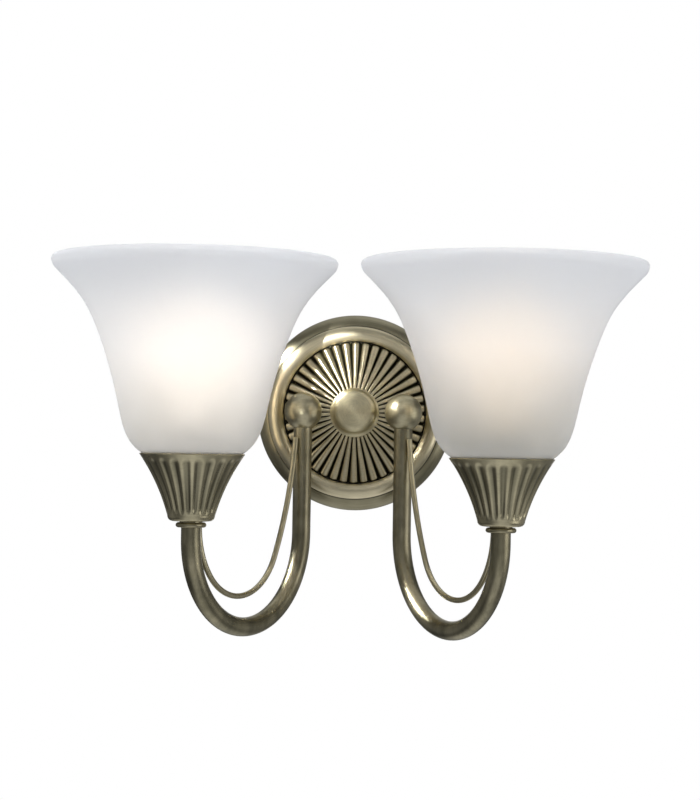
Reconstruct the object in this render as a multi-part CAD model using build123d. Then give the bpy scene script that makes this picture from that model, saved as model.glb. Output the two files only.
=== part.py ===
"""Double arm wall light: a round fluted backplate, two hooked arms and two upright bell shades.

Millimetres, +Z up. The origin is the centre of the wall face, the wall is the plane y = 0 and
the light stands out along -Y. Depths are distances from the wall, so a depth d is at y = -d.
"""
from build123d import *
import math
import os

# ---------------------------------------------------------------- clearances and shared sizes
RUN_FIT = 0.05          # radial gap of a shaft or thread in its hole
CLEAR_FIT = 0.15        # radial gap of a screw or nipple in a plain hole
SEAT_GAP = 0.1          # gap between faces that touch lightly
CUT = 1.0               # how far a cutter runs past the face that it opens

# ---------------------------------------------------------------- backplate
PLATE_R = 60.4          # outer radius at the wall
PLATE_WALL = 1.0        # metal thickness
FIELD_DEPTH = 12.0      # wall to the plain base of the fluted field
FIELD_R = 43.6          # outer radius of the fluted field
RING_FOOT_RISE = 2.0    # inner step of the raised ring above the field
RING_FOOT_LEAN = 0.4    # how far that step leans outward
RING_CREST_R = 49.0
RING_CREST_DEPTH = 17.0
RING_OUTER_R = 53.0     # groove between the ring and the flange
RING_OUTER_DEPTH = 14.4
GROOVE_DEPTH = 12.4
FLANGE_MID_R = 58.4
FLANGE_MID_DEPTH = 9.2
FLANGE_EDGE_DEPTH = 3.6

RIB_COUNT = 42          # ribs of the sunburst
RIB_INNER_R = 15.4      # where the ribs begin
RIB_INNER_HALF = 0.92   # half width of a rib at its inner end
RIB_OUTER_HALF = 2.55   # half width and end radius of a rib at its outer end
RIB_SUNK = 0.3          # how deep the rib's axis lies in the metal
PAD_R = 8.3             # flat pads in the ribs, one under each arm

# ---------------------------------------------------------------- centre boss
BOSS_FOOT_R = 15.0
BOSS_FOOT_RISE = 0.8
BOSS_WAIST_R = 12.9
BOSS_WAIST_RISE = 4.0
BOSS_FACE_R = 10.4
BOSS_RISE = 6.4
BOSS_COVE_AT = (13.6, 2.2)      # a point of the cove: radius and rise above the field
BOSS_EDGE_AT = (12.15, 5.8)     # a point of the rounded edge of its face
BOSS_BORE_RISE = 5.0    # depth of the blind thread
STUD_R = 3.0            # M6 stud
STUD_CHAMFER = 0.5

# ---------------------------------------------------------------- wall bracket
BRACKET_T = 1.5
BRACKET_W = 22.0
BRACKET_L = 98.0
BRACKET_CORNER_R = 5.5
SLOT_SPACING = 68.0     # between the centres of the two wall slots
SLOT_L = 18.0
SLOT_W = 5.0
STUD_FLANGE_R = 5.5
STUD_FLANGE_T = 1.0
EARTH_Z = -15.5         # earth screw below the stud
EARTH_SCREW_R = 2.0     # M4
EARTH_HEAD_R = 3.8
EARTH_HEAD_T = 2.4
EARTH_WASHER_R = 4.6
EARTH_WASHER_T = 0.8
SCREW_SLOT_W = 0.9

# ---------------------------------------------------------------- terminal block
BLOCK_Z = 14.0          # centre above the stud
POLE_COUNT = 3
POLE_PITCH = 6.6
BLOCK_H = 13.0
BLOCK_BASE_T = 4.4
POLE_R = 2.6
POLE_RISE = 3.4         # wire bore above the block's base face
POLE_OFFSET = 1.2       # ridge axis above the wire bore
WELL_PITCH = 6.0        # between the two screws of one pole
GRUB_R = 1.5
GRUB_L = 2.6
WIRE_BORE_R = 1.3
BLOCK_SCREW_R = 1.25
BLOCK_HEAD_R = 2.1
BLOCK_HEAD_T = 1.4
BLOCK_WEB_T = 2.6       # thickness between the poles, under the screw heads

# ---------------------------------------------------------------- arm
ARM_ANGLE = 32.0        # degrees that each arm turns out from straight ahead
ARM_X = 30.3            # ball centres left and right of the middle
ARM_DEPTH = 34.3        # wall to ball centres
BALL_R = 11.3
BALL_FLAT_R = 6.0
SPACER_FOOT_R = 8.0
SPACER_FOOT_T = 1.2
SPACER_COVE_L = 5.0
NIPPLE_R = 5.0          # M10 x 1
NIPPLE_BORE_R = 3.6
NIPPLE_BACK = 4.0       # depth of the nipple's rear end
NIPPLE_IN_BALL = 7.8    # thread engaged in the ball
NUT_ACROSS = 14.0
NUT_T = 3.0
WASHER_R = 9.0
WASHER_T = 1.0
TUBE_R = 5.52
TUBE_BORE_R = 4.0
TUBE_TOP_Z = -5.6       # the tube ends inside the ball
DROP = 73.3             # ball centre to the start of the bend
BEND_R = 52.77          # centreline radius of the half-round bend
SHOULDER_Z = -67.0      # front leg: the tube ends here and its threaded end goes on
THREAD_TOP_Z = -53.0

# ---------------------------------------------------------------- scroll rod inside the hook
ROD_R = 1.65
ROD_TOP_Z = -16.0
BOWL_R = 36.4           # radius of the rod's lower bow
BOWL_GAP = 1.75         # least room between the bow's circle and the tube's bend
BOWL_LEAN = 14.0        # degrees above level where that room is least
BOWL_IN_ANGLE = 205.0   # where the back run joins the bow
BOWL_OUT_ANGLE = 320.0  # where the front run leaves it
ROD_END_GAP = 0.35      # below the collar

# ---------------------------------------------------------------- collar and cup
COLLAR_R = 8.6
COLLAR_NECK_R = 6.4
COLLAR_T = 2.8
COLLAR_ROUND = 1.2      # depth of its rounded edge
CUP_BOTTOM_Z = -63.5
CUP_RIM_Z = -25.8
CUP_RIM_R = 29.4
CUP_WAIST_R = 19.6      # outer radius half way up
CUP_BASE_R = 13.3
CUP_BASE_CORNER = 3.0
CUP_FLOOR_T = 1.8
CUP_LIP_T = 1.0
CUP_WALL = 1.95         # wall under the flutes, measured level
FLUTE_COUNT = 24
FLUTE_TOP = 4.6         # below the rim
FLUTE_BOTTOM = 4.4      # above the bottom
FLUTE_TOP_R = 2.15      # cutter radius at the top
FLUTE_BOTTOM_R = 1.1
FLUTE_CUT = 0.9         # depth of a flute

# ---------------------------------------------------------------- lampholder
CAP_R = 13.4            # threaded rim of the holder's cap
CAP_BOSS_R = 7.2
CAP_BOSS_L = 3.0
CAP_RIM_L = 4.2
CAP_SWELL_AT = (4.6, 2.6)   # a point of its dome: out from the boss and up from its top
CAP_TOP_Z = -44.0
CAP_LEDGE_Z = -46.0
CAP_MOUTH_R = 11.6
CAP_CHAMBER_R = 10.7
CAP_CHAMBER_Z = -50.0
CAP_CHAMBER_END_R = 6.0
CAP_CHAMBER_END_Z = -54.6
SKIRT_WALL = 0.8
SKIRT_TOP_Z = -14.0
FLANGE_R = 19.0         # seat of the glass
FLANGE_T = 1.5
BARREL_R = 12.2
BARREL_BORE_R = 11.3
BARREL_TOP_Z = -13.0
PIN_R = 1.1             # bayonet pins of the lamp
PIN_TIP_R = 13.15
PIN_Z = -27.4
PIN_GAP = 0.2           # around a pin in its slot
TWIST = 20.0            # degrees from locked to the entry slot
PUSH = 2.5              # travel of the sprung plungers
CORE_TOP_Z = -39.5
CORE_TOP_R = 11.0
CORE_FLOOR_Z = -48.0
CORE_LOW_R = 10.4
CONTACT_X = 4.2         # contacts left and right of the axis
CONTACT_Z = -35.0       # underside of the lamp's contacts
PLUNGER_R = 1.75
PLUNGER_HEAD_R = 2.25
PLUNGER_HEAD_Z = -42.0
PLUNGER_HEAD_T = 1.5
PLUNGER_STOP_Z = -41.5
SPRING_R = 2.1
SPRING_BORE_R = 1.5
TERMINAL_W = 6.4
TERMINAL_L = 9.0
TERMINAL_T = 0.9
TERMINAL_SCREW_R = 1.5
TERMINAL_SCREW_L = 1.4

# ---------------------------------------------------------------- glass shade
HOLE_R = 14.75          # hole in the shade's bottom
GLASS_BOTTOM_Z = -29.3
GASKET_T = 0.8
GASKET_R = 18.6
GLASS_T = 3.4
GLASS_FLOOR_T = 3.6
GLASS_FLOOR_R = 19.0
BOWL_START_R = 16.0
SHOULDER_R = 35.3       # where the bowl becomes the bell
GLASS_SHOULDER_Z = -18.7
BELL = [(42.3, 3.6), (52.0, 37.0), (61.0, 57.0), (71.0, 69.5)]
FLARE_END_R = 77.6
FLARE_END_Z = 76.2
MOUTH_R = 79.8
MOUTH_Z = 80.4
LIP_TOP_R = 78.2
LIP_TOP_Z = 83.4
LIP_INNER_STEP = (0.9, 2.4)    # from the inside of the flare to the lip's inner edge
RING_T = 6.0            # shade ring
RING_RIDGES = 20
RING_RIDGE_R = 0.5

# ---------------------------------------------------------------- lamp
LAMP_R = 30.0
LAMP_LENGTH = 105.0     # contacts to the top of the bulb
LAMP_NECK_R = 13.0
LAMP_NECK_L = 1.9       # straight part of the neck above the cap
LAMP_GLASS_T = 0.8
LAMP_CAP_R = 10.95
LAMP_CAP_T = 0.6
LAMP_CAP_CHAMFER = 1.0
LAMP_CAP_BOTTOM_Z = -33.4
LAMP_CAP_TOP_Z = -9.6
LAMP_FLARE_R = 12.4
LAMP_FLARE_Z = -8.6
LAMP_STEP_RISE = 0.4    # the glass stands this far over the cap's edge
LAMP_STEP_FALL = 0.5
LAMP_FOOT_Z = -12.6     # the glass ends inside the cap
VITRITE_R = 9.4
VITRITE_Z = -34.5
VITRITE_L = 2.0         # thickness of the insulator inside the cap
CONTACT_PAD_R = 2.2
STEM_R = 3.0
STEM_FOOT_Z = -9.0
STEM_FOOT_T = 1.0
STEM_FLARE_L = 8.0      # height of the stem's flared foot
STEM_DROP = 24.0        # filament ends to the top of the stem
LEAD_R = 0.4
FILAMENT_HALF = 9.0
FILAMENT_RISE = 3.0
LEAD_BEND_R = 1.2

# ---------------------------------------------------------------- places worked out from the sizes
REACH = 2 * BEND_R
OUT_X = ARM_X + REACH * math.sin(math.radians(ARM_ANGLE))
OUT_Y = -(ARM_DEPTH + REACH * math.cos(math.radians(ARM_ANGLE)))
BOWL_SHIFT = BEND_R - TUBE_R - ROD_R - BOWL_GAP - BOWL_R
BOWL_S = BEND_R + BOWL_SHIFT * math.cos(math.radians(BOWL_LEAN))
BOWL_Z = BOWL_SHIFT * math.sin(math.radians(BOWL_LEAN)) - DROP
BALL_BACK = ARM_DEPTH - math.sqrt(BALL_R ** 2 - BALL_FLAT_R ** 2)
PLATE_BACK = FIELD_DEPTH - PLATE_WALL
CUP_FLOOR_Z = CUP_BOTTOM_Z + CUP_FLOOR_T
CAP_BOTTOM_Z = CUP_FLOOR_Z + NUT_T + SEAT_GAP
CAP_RIM_Z = CAP_TOP_Z - CAP_RIM_L
SKIRT_BORE_R = CAP_R + RUN_FIT
SKIRT_R = SKIRT_BORE_R + SKIRT_WALL
FLANGE_TOP_Z = GLASS_BOTTOM_Z - GASKET_T
RING_Z = GLASS_BOTTOM_Z + GLASS_FLOOR_T + GASKET_T
LAMP_TOP_Z = CONTACT_Z + LAMP_LENGTH
LAMP_CENTRE_Z = LAMP_TOP_Z - LAMP_R
FILAMENT_Z = LAMP_CENTRE_Z
STEM_TOP_Z = FILAMENT_Z - STEM_DROP
LAMP_FOOT_R = LAMP_CAP_R - LAMP_CAP_T - RUN_FIT
STEM_FOOT_R = LAMP_FOOT_R - LAMP_GLASS_T - RUN_FIT
THREAD_BORE_R = NIPPLE_R + RUN_FIT
BOTH_SIDES = (-1, 1)


# ---------------------------------------------------------------- helpers
def outline(*edges):
    """A closed face from edges that meet end to end, closed by a straight line."""
    wire = Wire(edges)
    closing = Line(wire @ 1, wire @ 0)
    return make_face(Wire(list(wire.edges()) + [closing]))


def turned(*edges):
    """A turned piece: the outline lies in the XZ plane and goes round the Z axis."""
    return revolve(Plane.XZ * outline(*edges), Axis.Z)


def tube(radius, bore, low, high):
    """A plain tube about the Z axis."""
    ring = Circle(radius) - Circle(bore)
    return extrude(Plane.XY.offset(low) * ring, high - low)


def rod(radius, low, high):
    """A plain round bar about the Z axis."""
    return extrude(Plane.XY.offset(low) * Circle(radius), high - low)


def facing_room(shape):
    """Turns a piece made about +Z so that its +Z points out from the wall."""
    return Rot(90, 0, 0) * shape


def hexagon_nut(across, bore, low, high):
    """A six-sided nut about the Z axis."""
    plan = RegularPolygon(across / 2, 6, major_radius=False) - Circle(bore)
    return extrude(Plane.XY.offset(low) * plan, high - low)


def on_arm(side, shape):
    """Moves a piece made in the XZ plane, +X outward from the back leg, on to its arm."""
    turn = side * ARM_ANGLE - 90
    return Pos(side * ARM_X, -ARM_DEPTH, 0) * Rot(0, 0, turn) * shape


def on_holder(side, shape):
    """Moves a piece made about the Z axis on to the axis of the front leg."""
    return Pos(side * OUT_X, OUT_Y, 0) * shape


def save(name, shape):
    export_step(shape, f"parts/{name}.step")


def save_group(name, shapes):
    solids = [solid for shape in shapes for solid in shape.solids()]
    export_step(Compound(children=solids), f"parts/{name}.step")


# ---------------------------------------------------------------- wall parts
def make_bracket():
    plan = RectangleRounded(BRACKET_W, BRACKET_L, BRACKET_CORNER_R)
    for z in (-SLOT_SPACING / 2, SLOT_SPACING / 2):
        plan -= Pos(0, z) * SlotOverall(SLOT_L, SLOT_W, rotation=90)
    plan -= Pos(0, EARTH_Z) * Circle(EARTH_SCREW_R + RUN_FIT)
    for x in (-POLE_PITCH / 2, POLE_PITCH / 2):
        plan -= Pos(x, BLOCK_Z) * Circle(BLOCK_SCREW_R + RUN_FIT)
    return facing_room(extrude(plan, BRACKET_T))


def make_stud():
    flange = rod(STUD_FLANGE_R, BRACKET_T, BRACKET_T + STUD_FLANGE_T)
    shank = rod(STUD_R, BRACKET_T, FIELD_DEPTH + BOSS_BORE_RISE - 2 * SEAT_GAP)
    return facing_room(chamfer((flange + shank).edges().sort_by(Axis.Z)[-1], STUD_CHAMFER))


def plate_section(inset):
    """Half section of the pressing. An inset of the metal's thickness gives its hollow side."""
    foot_r = FIELD_R + inset
    crest = (RING_CREST_R, RING_CREST_DEPTH - inset)
    outer_r = RING_OUTER_R - inset
    groove = (RING_OUTER_R - inset, GROOVE_DEPTH - inset)
    edge_r = PLATE_R - inset
    foot_top = (foot_r + RING_FOOT_LEAN, FIELD_DEPTH + RING_FOOT_RISE - inset)
    return [
        Line((0, 0), (0, FIELD_DEPTH - inset)),
        Line((0, FIELD_DEPTH - inset), (foot_r, FIELD_DEPTH - inset)),
        Line((foot_r, FIELD_DEPTH - inset), foot_top),
        ThreePointArc(foot_top, crest, (outer_r, RING_OUTER_DEPTH - inset)),
        Line((outer_r, RING_OUTER_DEPTH - inset), groove),
        ThreePointArc(
            groove,
            (FLANGE_MID_R - inset, FLANGE_MID_DEPTH - inset),
            (edge_r, FLANGE_EDGE_DEPTH - inset),
        ),
        Line((edge_r, FLANGE_EDGE_DEPTH - inset), (edge_r, 0)),
    ]


def make_rib():
    """One rib of the sunburst: a half round that widens outward and ends in a half ball."""
    ball_r = FIELD_R - RIB_OUTER_HALF - SEAT_GAP / 2
    section = outline(
        Line((RIB_INNER_R, 0), (RIB_INNER_R, RIB_INNER_HALF)),
        Line((RIB_INNER_R, RIB_INNER_HALF), (ball_r, RIB_OUTER_HALF)),
        RadiusArc((ball_r, RIB_OUTER_HALF), (ball_r + RIB_OUTER_HALF, 0), RIB_OUTER_HALF),
    )
    return Pos(0, 0, FIELD_DEPTH - RIB_SUNK) * revolve(Plane.XY * section, Axis.X, 180)


def make_backplate():
    plate = turned(*plate_section(0)) - turned(*plate_section(PLATE_WALL))
    rib = make_rib()
    plate += [Rot(0, 0, 360 * (i + 0.5) / RIB_COUNT) * rib for i in range(RIB_COUNT)]
    tall = FIELD_DEPTH + RIB_OUTER_HALF + CUT
    for x in (-ARM_X, ARM_X):
        plate -= Pos(x, 0, 0) * rod(PAD_R, FIELD_DEPTH, tall)
        plate -= Pos(x, 0, 0) * rod(NIPPLE_R + CLEAR_FIT, 0, tall)
    plate -= rod(STUD_R + CLEAR_FIT, 0, tall)
    return facing_room(plate)


def on_field(place):
    """A point given as radius and rise above the field."""
    return place[0], FIELD_DEPTH + place[1]


def make_boss():
    foot = FIELD_DEPTH + BOSS_FOOT_RISE
    waist = FIELD_DEPTH + BOSS_WAIST_RISE
    top = FIELD_DEPTH + BOSS_RISE
    body = turned(
        Line((0, FIELD_DEPTH), (BOSS_FOOT_R, FIELD_DEPTH)),
        Line((BOSS_FOOT_R, FIELD_DEPTH), (BOSS_FOOT_R, foot)),
        ThreePointArc((BOSS_FOOT_R, foot), on_field(BOSS_COVE_AT), (BOSS_WAIST_R, waist)),
        ThreePointArc((BOSS_WAIST_R, waist), on_field(BOSS_EDGE_AT), (BOSS_FACE_R, top)),
        Line((BOSS_FACE_R, top), (0, top)),
    )
    bore = rod(STUD_R + RUN_FIT, FIELD_DEPTH - CUT, FIELD_DEPTH + BOSS_BORE_RISE)
    return facing_room(body - bore)


def make_terminal_block():
    length = POLE_COUNT * POLE_PITCH
    footprint = Plane.XY.offset(BRACKET_T) * Rectangle(length, BLOCK_H)
    block = Pos(0, BLOCK_Z, 0) * extrude(footprint, BLOCK_BASE_T)
    poles = [(i - (POLE_COUNT - 1) / 2) * POLE_PITCH for i in range(POLE_COUNT)]
    axis_z = BRACKET_T + POLE_RISE
    lying = Rot(90, 0, 0) * Cylinder(POLE_R, BLOCK_H)
    block += [Pos(x, BLOCK_Z, axis_z + POLE_OFFSET) * lying for x in poles]
    wire_bore = Rot(90, 0, 0) * Cylinder(WIRE_BORE_R, BLOCK_H + CUT)
    for x in poles:
        block -= Pos(x, BLOCK_Z, axis_z) * wire_bore
        for z in (-WELL_PITCH / 2, WELL_PITCH / 2):
            block -= Pos(x, BLOCK_Z + z, 0) * rod(GRUB_R + RUN_FIT, axis_z, axis_z + BLOCK_H)
    shank_hole = rod(BLOCK_SCREW_R + CLEAR_FIT, 0, BLOCK_H)
    head_hole = rod(BLOCK_HEAD_R + CLEAR_FIT, BRACKET_T + BLOCK_WEB_T, BLOCK_H)
    for x in (-POLE_PITCH / 2, POLE_PITCH / 2):
        block -= Pos(x, BLOCK_Z, 0) * (shank_hole + head_hole)
    return facing_room(block)


def slotted(screw, radius, top):
    """Cuts the driver's slot into a screw that stands about the Z axis."""
    return screw - Pos(0, 0, top) * Box(2 * radius + CUT, SCREW_SLOT_W, SCREW_SLOT_W)


def make_terminal_screws():
    low = BRACKET_T + POLE_RISE + WIRE_BORE_R
    grub = slotted(rod(GRUB_R, low, low + GRUB_L), GRUB_R, low + GRUB_L)
    screws = []
    for i in range(POLE_COUNT):
        for z in (-WELL_PITCH / 2, WELL_PITCH / 2):
            x = (i - (POLE_COUNT - 1) / 2) * POLE_PITCH
            screws.append(facing_room(Pos(x, BLOCK_Z + z, 0) * grub))
    return screws


def make_block_screws():
    under = BRACKET_T + BLOCK_WEB_T
    top = under + BLOCK_HEAD_T
    screw = rod(BLOCK_SCREW_R, SEAT_GAP, under) + rod(BLOCK_HEAD_R, under, top)
    screw = slotted(screw, BLOCK_HEAD_R, top)
    places = (-POLE_PITCH / 2, POLE_PITCH / 2)
    return [facing_room(Pos(x, BLOCK_Z, 0) * screw) for x in places]


def make_earth_washer():
    low = BRACKET_T
    ring = tube(EARTH_WASHER_R, EARTH_SCREW_R + CLEAR_FIT, low, low + EARTH_WASHER_T)
    return facing_room(Pos(0, EARTH_Z, 0) * ring)


def make_earth_screw():
    under = BRACKET_T + EARTH_WASHER_T
    top = under + EARTH_HEAD_T
    screw = rod(EARTH_SCREW_R, SEAT_GAP, under) + rod(EARTH_HEAD_R, under, top)
    return facing_room(Pos(0, EARTH_Z, 0) * slotted(screw, EARTH_HEAD_R, top))


# ---------------------------------------------------------------- arm parts
def at_arm_root(side, shape):
    """Moves a piece made about +Z, up from the wall, on to the axis of an arm's nipple."""
    return facing_room(Pos(side * ARM_X, 0, 0) * shape)


def make_spacer(side):
    foot = FIELD_DEPTH + SPACER_FOOT_T
    cove = foot + SPACER_COVE_L
    cove_r = BALL_FLAT_R + 0.3 * (SPACER_FOOT_R - BALL_FLAT_R)
    cove_middle = (cove_r, foot + SPACER_COVE_L / 3)
    bore_r = NIPPLE_R + CLEAR_FIT
    body = turned(
        Line((bore_r, FIELD_DEPTH), (SPACER_FOOT_R, FIELD_DEPTH)),
        Line((SPACER_FOOT_R, FIELD_DEPTH), (SPACER_FOOT_R, foot)),
        ThreePointArc((SPACER_FOOT_R, foot), cove_middle, (BALL_FLAT_R, cove)),
        Line((BALL_FLAT_R, cove), (BALL_FLAT_R, BALL_BACK)),
        Line((BALL_FLAT_R, BALL_BACK), (bore_r, BALL_BACK)),
    )
    return at_arm_root(side, body)


def make_nipple(side):
    front = BALL_BACK + NIPPLE_IN_BALL
    return at_arm_root(side, tube(NIPPLE_R, NIPPLE_BORE_R, NIPPLE_BACK, front))


def make_ball(side):
    ball = Pos(0, 0, ARM_DEPTH) * Sphere(BALL_R)
    ball -= rod(2 * BALL_R, 0, BALL_BACK)
    ball -= rod(THREAD_BORE_R, 0, BALL_BACK + NIPPLE_IN_BALL + SEAT_GAP)
    ball -= rod(NIPPLE_BORE_R, 0, ARM_DEPTH + NIPPLE_BORE_R)
    ball = at_arm_root(side, ball)
    ball -= Pos(side * ARM_X, -ARM_DEPTH, 0) * rod(TUBE_R + RUN_FIT, -2 * BALL_R, TUBE_TOP_Z)
    ball -= Pos(side * ARM_X, -ARM_DEPTH, 0) * rod(TUBE_BORE_R, -BALL_R, 0)
    return ball


def make_arm_tube(side):
    down = Line((0, TUBE_TOP_Z), (0, -DROP))
    bend = ThreePointArc((0, -DROP), (BEND_R, -DROP - BEND_R), (REACH, -DROP))
    rise = Line((REACH, -DROP), (REACH, SHOULDER_Z))
    path = Plane.XZ * Wire([down, bend, rise])
    body = sweep(Plane.XY.offset(TUBE_TOP_Z) * (Circle(TUBE_R) - Circle(TUBE_BORE_R)), path)
    body += Pos(REACH, 0, 0) * tube(NIPPLE_R, TUBE_BORE_R, SHOULDER_Z - CUT, THREAD_TOP_Z)
    return on_arm(side, body)


def on_bow(degrees):
    """A point of the rod's lower bow, in the plane of the arm."""
    turn = math.radians(degrees)
    return BOWL_S + BOWL_R * math.cos(turn), BOWL_Z + BOWL_R * math.sin(turn)


def make_scroll_rod(side):
    """The thin rod that hangs inside the hook, in the plane of the arm."""
    bow_in = on_bow(BOWL_IN_ANGLE)
    bow_out = on_bow(BOWL_OUT_ANGLE)
    beside_back = TUBE_R + ROD_R + RUN_FIT
    beside_front = REACH - TUBE_R - ROD_R - RUN_FIT
    bow = ThreePointArc(bow_in, (BOWL_S, BOWL_Z - BOWL_R), bow_out)
    back_run = TangentArc(bow_in, (beside_back, ROD_TOP_Z), tangent=-(bow % 0))
    rod_end = (beside_front, SHOULDER_Z - ROD_END_GAP)
    front_run = TangentArc(bow_out, rod_end, tangent=bow % 1)
    body = Plane.XZ * sweep_round(ROD_R, back_run, bow, front_run)
    return on_arm(side, body)


def sweep_round(radius, *edges):
    """A round bar along edges that meet end to end in one plane."""
    path = Wire(edges)
    start = Plane(path @ 0, z_dir=path % 0)
    return sweep(start * Circle(radius), path)


# ---------------------------------------------------------------- collar and cup
def make_collar(side):
    neck_z = SHOULDER_Z + COLLAR_T
    middle = (SHOULDER_Z + neck_z) / 2
    flat_r = COLLAR_R - COLLAR_ROUND
    body = turned(
        Line((THREAD_BORE_R, SHOULDER_Z), (flat_r, SHOULDER_Z)),
        ThreePointArc((flat_r, SHOULDER_Z), (COLLAR_R, middle), (flat_r, neck_z)),
        Line((flat_r, neck_z), (COLLAR_NECK_R, neck_z)),
        Line((COLLAR_NECK_R, neck_z), (COLLAR_NECK_R, CUP_BOTTOM_Z)),
        Line((COLLAR_NECK_R, CUP_BOTTOM_Z), (THREAD_BORE_R, CUP_BOTTOM_Z)),
    )
    return on_holder(side, body)


def cup_side():
    """The cup's outer line, from the top of its bottom corner up to the lip."""
    low = (CUP_BASE_R, CUP_BOTTOM_Z + CUP_BASE_CORNER)
    high = (CUP_RIM_R, CUP_RIM_Z - CUP_LIP_T / 2)
    return ThreePointArc(low, (CUP_WAIST_R, (low[1] + high[1]) / 2), high)


def make_flute():
    """The cutter of one flute: a tapered bar along the cup's side, round at both ends."""
    side = cup_side()
    span = side.length
    low = FLUTE_BOTTOM / span
    high = 1 - FLUTE_TOP / span
    stations = []
    for i in range(3):
        share = i / 2
        place = low + (high - low) * share
        radius = FLUTE_BOTTOM_R + (FLUTE_TOP_R - FLUTE_BOTTOM_R) * share
        along = side % place
        outward = Vector(along.Y, -along.X)
        stations.append((side @ place + outward * (radius - FLUTE_CUT), along, radius))
    rings = [Plane(at, z_dir=along) * Circle(radius) for at, along, radius in stations]
    cutter = loft(rings)
    for at, _, radius in (stations[0], stations[-1]):
        cutter += Pos(at) * Sphere(radius)
    return Rot(90, 0, 0) * cutter


def make_cup():
    side = cup_side()
    corner_start = (CUP_BASE_R - CUP_BASE_CORNER, CUP_BOTTOM_Z)
    lip_r = CUP_RIM_R - CUP_LIP_T
    lip_z = CUP_RIM_Z - CUP_LIP_T / 2
    inner_base_r = CUP_BASE_R - CUP_WALL
    inner_low = (inner_base_r, CUP_BOTTOM_Z + CUP_BASE_CORNER)
    inner_waist = (CUP_WAIST_R - CUP_WALL, (inner_low[1] + lip_z) / 2)
    body = turned(
        Line((THREAD_BORE_R, CUP_BOTTOM_Z), corner_start),
        TangentArc(side @ 0, corner_start, tangent=-(side % 0)),
        side,
        ThreePointArc(side @ 1, (CUP_RIM_R - CUP_LIP_T / 2, CUP_RIM_Z), (lip_r, lip_z)),
        ThreePointArc((lip_r, lip_z), inner_waist, inner_low),
        Line(inner_low, (inner_base_r, CUP_FLOOR_Z)),
        Line((inner_base_r, CUP_FLOOR_Z), (THREAD_BORE_R, CUP_FLOOR_Z)),
    )
    flute = make_flute()
    return body - [Rot(0, 0, 360 * i / FLUTE_COUNT) * flute for i in range(FLUTE_COUNT)]


# ---------------------------------------------------------------- lampholder
def make_holder_cap():
    boss_top = CAP_BOTTOM_Z + CAP_BOSS_L
    swell = (CAP_BOSS_R + CAP_SWELL_AT[0], boss_top + CAP_SWELL_AT[1])
    outside = turned(
        Line((0, CAP_BOTTOM_Z), (CAP_BOSS_R, CAP_BOTTOM_Z)),
        Line((CAP_BOSS_R, CAP_BOTTOM_Z), (CAP_BOSS_R, boss_top)),
        ThreePointArc((CAP_BOSS_R, boss_top), swell, (CAP_R, CAP_RIM_Z)),
        Line((CAP_R, CAP_RIM_Z), (CAP_R, CAP_TOP_Z)),
        Line((CAP_R, CAP_TOP_Z), (0, CAP_TOP_Z)),
    )
    inside = turned(
        Line((0, CAP_CHAMBER_END_Z), (CAP_CHAMBER_END_R, CAP_CHAMBER_END_Z)),
        Line((CAP_CHAMBER_END_R, CAP_CHAMBER_END_Z), (CAP_CHAMBER_R, CAP_CHAMBER_Z)),
        Line((CAP_CHAMBER_R, CAP_CHAMBER_Z), (CAP_CHAMBER_R, CAP_LEDGE_Z)),
        Line((CAP_CHAMBER_R, CAP_LEDGE_Z), (CAP_MOUTH_R, CAP_LEDGE_Z)),
        Line((CAP_MOUTH_R, CAP_LEDGE_Z), (CAP_MOUTH_R, CAP_TOP_Z + CUT)),
        Line((CAP_MOUTH_R, CAP_TOP_Z + CUT), (0, CAP_TOP_Z + CUT)),
    )
    return outside - inside - rod(THREAD_BORE_R, CAP_BOTTOM_Z - CUT, CAP_CHAMBER_Z)


def make_holder_core():
    """The insulating core that carries the two plungers."""
    core = rod(CAP_MOUTH_R - SEAT_GAP, CAP_LEDGE_Z, CAP_TOP_Z - SEAT_GAP)
    core += rod(CORE_TOP_R, CAP_TOP_Z - CUT, CORE_TOP_Z)
    core += rod(CORE_LOW_R, CORE_FLOOR_Z, CAP_LEDGE_Z + CUT)
    for x in (-CONTACT_X, CONTACT_X):
        core -= Pos(x, 0, 0) * rod(PLUNGER_R + RUN_FIT, PLUNGER_STOP_Z - CUT, CORE_TOP_Z + CUT)
        core -= Pos(x, 0, 0) * rod(PLUNGER_HEAD_R + RUN_FIT, CORE_FLOOR_Z - CUT, PLUNGER_STOP_Z)
    return core


def make_terminals():
    """Two brass plates under the core, each with its clamping screw."""
    under = CORE_FLOOR_Z - TERMINAL_T
    plate = extrude(Plane.XY.offset(under) * Rectangle(TERMINAL_W, TERMINAL_L), TERMINAL_T)
    screw = rod(TERMINAL_SCREW_R, under - TERMINAL_SCREW_L, under)
    plates = []
    for x in (-CONTACT_X, CONTACT_X):
        plates.append(Pos(x, 0, 0) * (plate + screw))
    return plates


def make_barrel():
    """The inner bayonet tube with its two L-shaped slots."""
    half_slot = PIN_R + PIN_GAP
    branch_top = PIN_Z + half_slot
    branch_low = PIN_Z - PUSH - half_slot
    barrel = tube(BARREL_R, BARREL_BORE_R, CAP_TOP_Z, BARREL_TOP_Z)
    margin = math.degrees(half_slot / BARREL_BORE_R)
    sweep_angle = TWIST + margin
    branch = turned_part(BARREL_BORE_R - CUT, BARREL_R + CUT, branch_low, branch_top, sweep_angle)
    entry_top = BARREL_TOP_Z + CUT
    entry = Box(2 * CUT + BARREL_R - BARREL_BORE_R, 2 * half_slot, entry_top - branch_low)
    entry = Pos((BARREL_R + BARREL_BORE_R) / 2, 0, (branch_low + entry_top) / 2) * entry
    for turn in (0, 180):
        barrel -= Rot(0, 0, turn - margin) * branch
        barrel -= Rot(0, 0, turn + TWIST) * entry
    return barrel


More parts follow.
